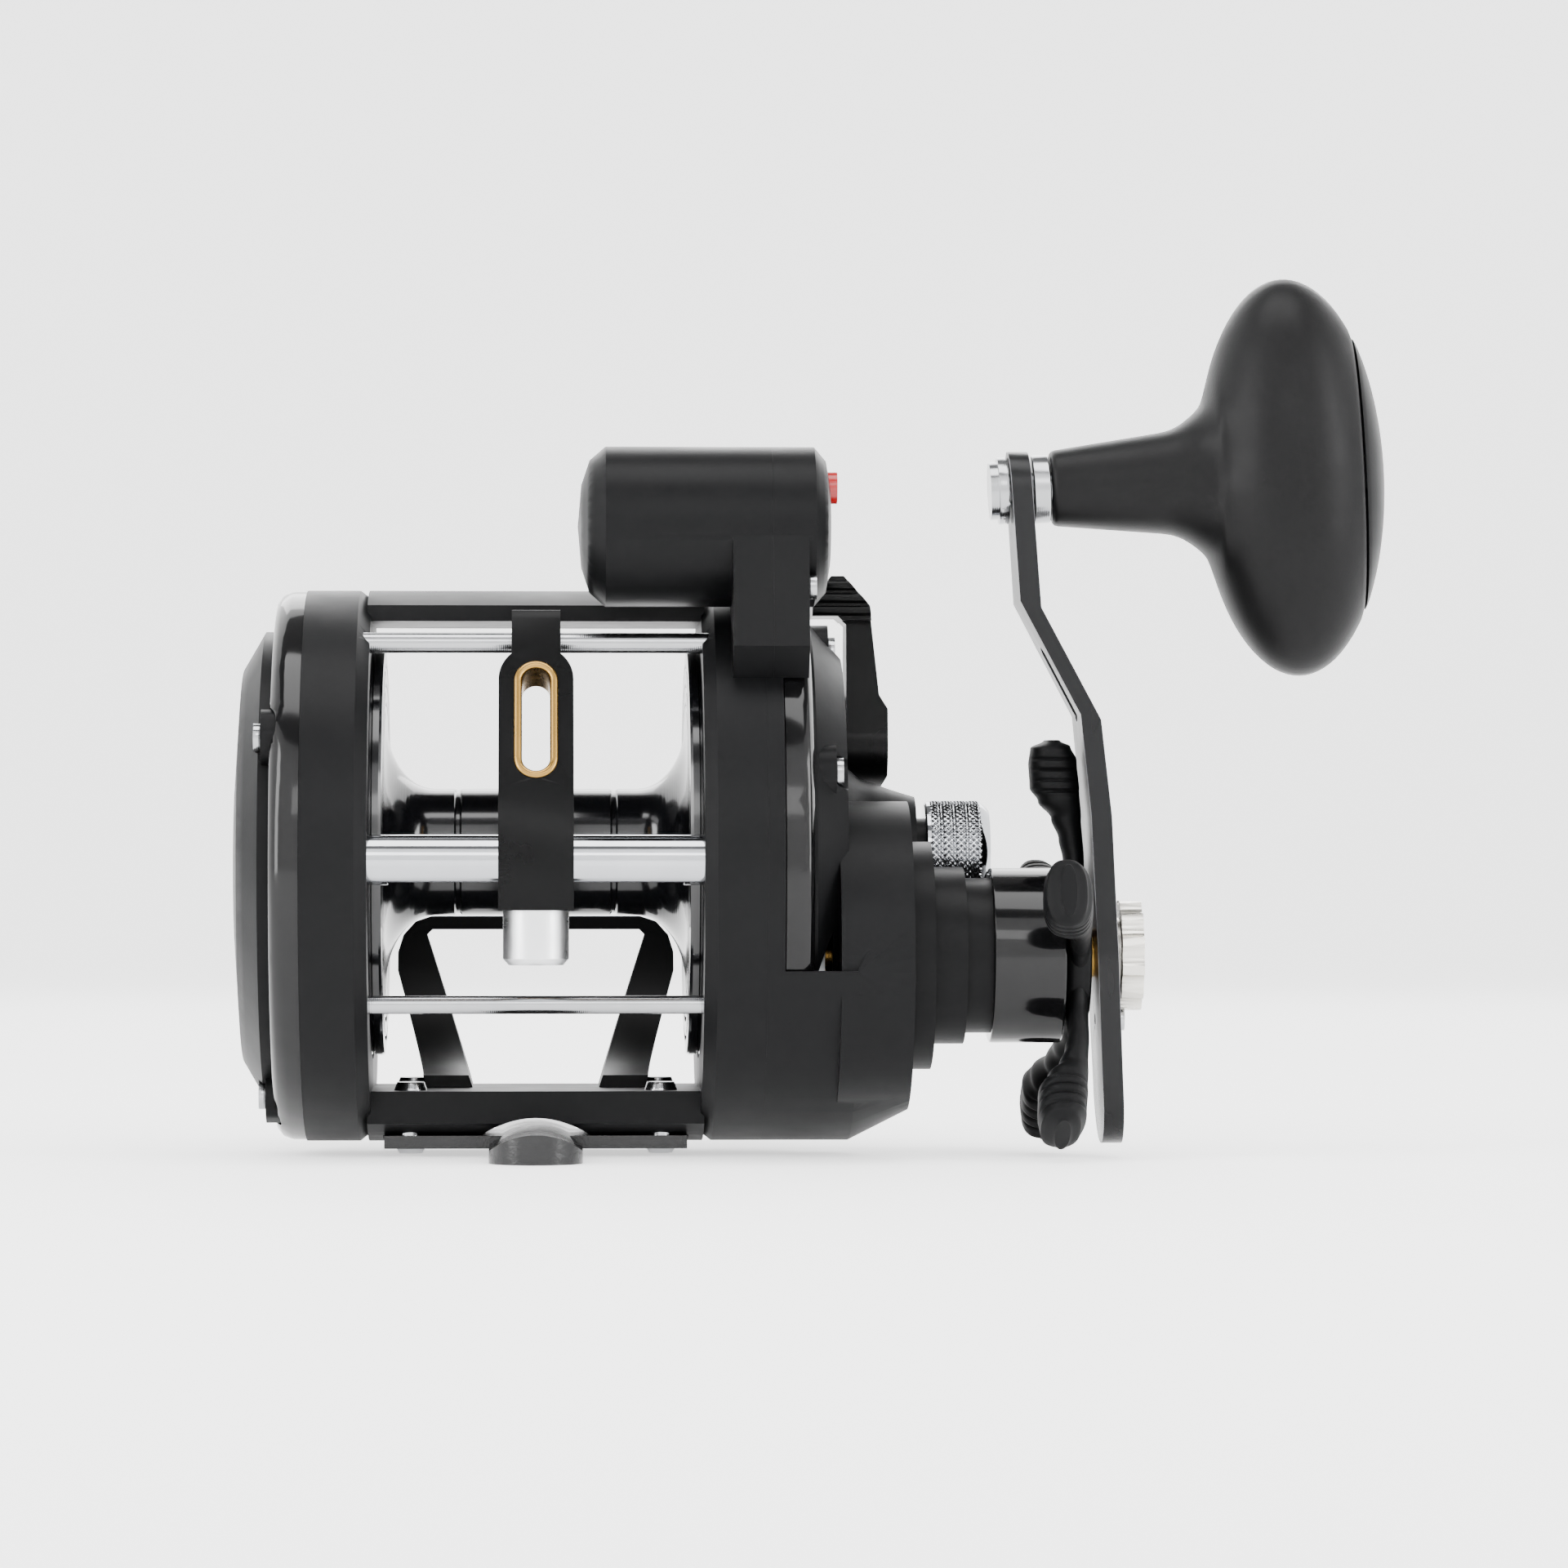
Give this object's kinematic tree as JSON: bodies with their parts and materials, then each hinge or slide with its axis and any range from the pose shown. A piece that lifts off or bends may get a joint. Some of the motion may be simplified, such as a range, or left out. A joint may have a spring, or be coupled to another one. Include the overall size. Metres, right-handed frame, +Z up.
{
  "type": "trolling reel",
  "caption": "Conventional star-drag trolling reel with level wind, line counter, power handle and rod foot.",
  "frame": {"origin": "middle of the underside of the reel foot, below mid spool", "axes": "+X along the spool axis towards the handle, +Y along the rod towards the angler, +Z up"},
  "size_m": [0.169, 0.0863, 0.1285],
  "materials": {
    "charcoal_plastic": "moulded graphite-filled plastic, satin",
    "gloss_black": "polished black trim",
    "spool_black": "turned aluminium, black anodised and polished",
    "arm_black": "black anodised with bright cut edges",
    "stainless": "polished stainless steel",
    "chrome": "bright chrome plate",
    "satin_nickel": "satin nickel plate",
    "brushed_cap": "brushed aluminium",
    "brass": "machined brass",
    "steel": "ground steel",
    "white_gear": "natural acetal",
    "grip_rubber": "soft-touch rubber",
    "red_plastic": "red moulded plastic",
    "window": "clear moulded window",
    "digit_white": "white number wheel",
    "friction": "woven carbon drag washer"
  },
  "bodies": {
    "root": {"frame": "charcoal_plastic", "left_trim_ring": "gloss_black", "left_side_plate": "charcoal_plastic", "right_trim_ring": "gloss_black", "right_side_plate": "charcoal_plastic", "plate_screws": "stainless", "bridge_plate": "brass", "gear_post": "steel", "gear_studs": "steel", "spool_bearings": "steel", "sleeve_bush": "brass", "nose_sleeve": "charcoal_plastic", "guide_rods": "stainless", "worm_tube": "chrome", "worm_bushes": "brass", "reel_foot": "gloss_black", "foot_rivets": "stainless", "counter_housing": "charcoal_plastic", "counter_cover": "charcoal_plastic", "counter_window": "window", "counter_screws": "stainless", "counter_shaft": "stainless"},
    "spool": {"spool": "spool_black", "spool_shaft": "stainless", "click_gear": "white_gear", "counter_drive_gear": "white_gear"},
    "crank": {"drive_sleeve": "brass", "main_gear": "brass", "drag_washers": "friction", "level_wind_gear": "white_gear", "ratchet_wheel": "steel", "handle_arm": "arm_black", "handle_nut": "satin_nickel", "nut_lock_screw": "stainless", "knob_pin": "stainless", "knob_bush": "stainless"},
    "star": {"star_wheel": "charcoal_plastic", "star_nut": "brass"},
    "knob": {"handle_knob": "grip_rubber", "knob_cap": "grip_rubber"},
    "yoke": {"yoke": "brass"},
    "pinion": {"pinion": "brass"},
    "lever": {"free_spool_lever": "charcoal_plastic"},
    "dog": {"reverse_dog": "steel"},
    "worm": {"worm_shaft": "brass", "worm_gear": "white_gear"},
    "lw_idler": {"level_wind_idler": "white_gear"},
    "line_guide": {"line_guide": "charcoal_plastic", "guide_insert": "brass", "guide_pawl": "brass", "pawl_cap": "brushed_cap"},
    "cast_knob": {"cast_control_knob": "chrome"},
    "clicker": {"clicker": "charcoal_plastic"},
    "idler_a": {"counter_idler_a": "white_gear"},
    "idler_b": {"counter_idler_b": "white_gear"},
    "counter_gear": {"counter_gear": "white_gear"},
    "ones": {"digit_ones": "digit_white"},
    "tens": {"digit_tens": "digit_white"},
    "hundreds": {"digit_hundreds": "digit_white"},
    "reset": {"reset_button": "red_plastic"}
  },
  "joints": [
    {"name": "spool_spin", "type": "hinge", "parent": "root", "child": "spool", "pos_m": [0, 0, 0.0445], "axis": [1, 0, 0], "continuous": true},
    {"name": "crank_turn", "type": "hinge", "parent": "root", "child": "crank", "pos_m": [0.084, -0.01434, 0.0294], "axis": [1, 0, 0], "continuous": true},
    {"name": "star_turn", "type": "hinge", "parent": "crank", "child": "star", "pos_m": [0.078, -0.01434, 0.0294], "axis": [1, 0, 0], "range_deg": [-360, 360]},
    {"name": "knob_spin", "type": "hinge", "parent": "crank", "child": "knob", "pos_m": [0.0706, -0.01434, 0.0974], "axis": [0.9988, 0, 0.0489], "continuous": true},
    {"name": "lever_swing", "type": "hinge", "parent": "root", "child": "lever", "pos_m": [0.048, 0.012, 0.0605], "axis": [-1, 0, 0], "range_deg": [0, 40]},
    {"name": "yoke_slide", "type": "slide", "parent": "root", "child": "yoke", "axis": [1, 0, 0], "range_m": [0, 0.0022]},
    {"name": "pinion_spin", "type": "hinge", "parent": "yoke", "child": "pinion", "pos_m": [0.037, 0, 0.0445], "axis": [1, 0, 0], "continuous": true},
    {"name": "dog_swing", "type": "hinge", "parent": "root", "child": "dog", "pos_m": [0.041, -0.028, 0.0385], "axis": [1, 0, 0], "range_deg": [0, 12]},
    {"name": "worm_spin", "type": "hinge", "parent": "root", "child": "worm", "pos_m": [0, -0.03497, 0.04335], "axis": [1, 0, 0], "continuous": true},
    {"name": "level_idler_spin", "type": "hinge", "parent": "root", "child": "lw_idler", "pos_m": [0.0316, -0.02652, 0.03764], "axis": [1, 0, 0], "continuous": true},
    {"name": "guide_slide", "type": "slide", "parent": "root", "child": "line_guide", "axis": [1, 0, 0], "range_m": [-0.017, 0.017]},
    {"name": "cast_knob_turn", "type": "hinge", "parent": "root", "child": "cast_knob", "pos_m": [0.062, 0, 0.0445], "axis": [1, 0, 0], "range_deg": [-180, 180]},
    {"name": "clicker_slide", "type": "slide", "parent": "root", "child": "clicker", "axis": [0, -1, 0], "range_m": [0, 0.003]},
    {"name": "counter_idler_a_spin", "type": "hinge", "parent": "root", "child": "idler_a", "pos_m": [0.0316, -0.00659, 0.05996], "axis": [1, 0, 0], "continuous": true},
    {"name": "counter_idler_b_spin", "type": "hinge", "parent": "root", "child": "idler_b", "pos_m": [0.0316, -0.01349, 0.07615], "axis": [1, 0, 0], "continuous": true},
    {"name": "counter_gear_spin", "type": "hinge", "parent": "root", "child": "counter_gear", "pos_m": [0.0316, -0.02008, 0.0916], "axis": [1, 0, 0], "continuous": true},
    {"name": "ones_spin", "type": "hinge", "parent": "root", "child": "ones", "pos_m": [0.027, -0.02008, 0.0916], "axis": [1, 0, 0], "continuous": true},
    {"name": "tens_spin", "type": "hinge", "parent": "root", "child": "tens", "pos_m": [0.022, -0.02008, 0.0916], "axis": [1, 0, 0], "continuous": true},
    {"name": "hundreds_spin", "type": "hinge", "parent": "root", "child": "hundreds", "pos_m": [0.018, -0.02008, 0.0916], "axis": [1, 0, 0], "continuous": true},
    {"name": "reset_press", "type": "slide", "parent": "root", "child": "reset", "axis": [-1, 0, 0], "range_m": [0, 0.0015], "stiffness_N_per_m": 400}
  ],
  "couplings": [
    {"joint": "spool_spin", "follows": "crank_turn", "ratio": -3.9},
    {"joint": "pinion_spin", "follows": "crank_turn", "ratio": -3.9},
    {"joint": "level_idler_spin", "follows": "crank_turn", "ratio": -1.2273},
    {"joint": "worm_spin", "follows": "crank_turn", "ratio": 2.25},
    {"joint": "counter_idler_a_spin", "follows": "crank_turn", "ratio": 3.5455},
    {"joint": "counter_idler_b_spin", "follows": "crank_turn", "ratio": -3.5455},
    {"joint": "counter_gear_spin", "follows": "crank_turn", "ratio": 3.9},
    {"joint": "ones_spin", "follows": "crank_turn", "ratio": 0.225},
    {"joint": "tens_spin", "follows": "crank_turn", "ratio": 0.0225},
    {"joint": "hundreds_spin", "follows": "crank_turn", "ratio": 0.00225},
    {"joint": "yoke_slide", "follows": "lever_swing", "m_per_rad": 0.0031513}
  ]
}
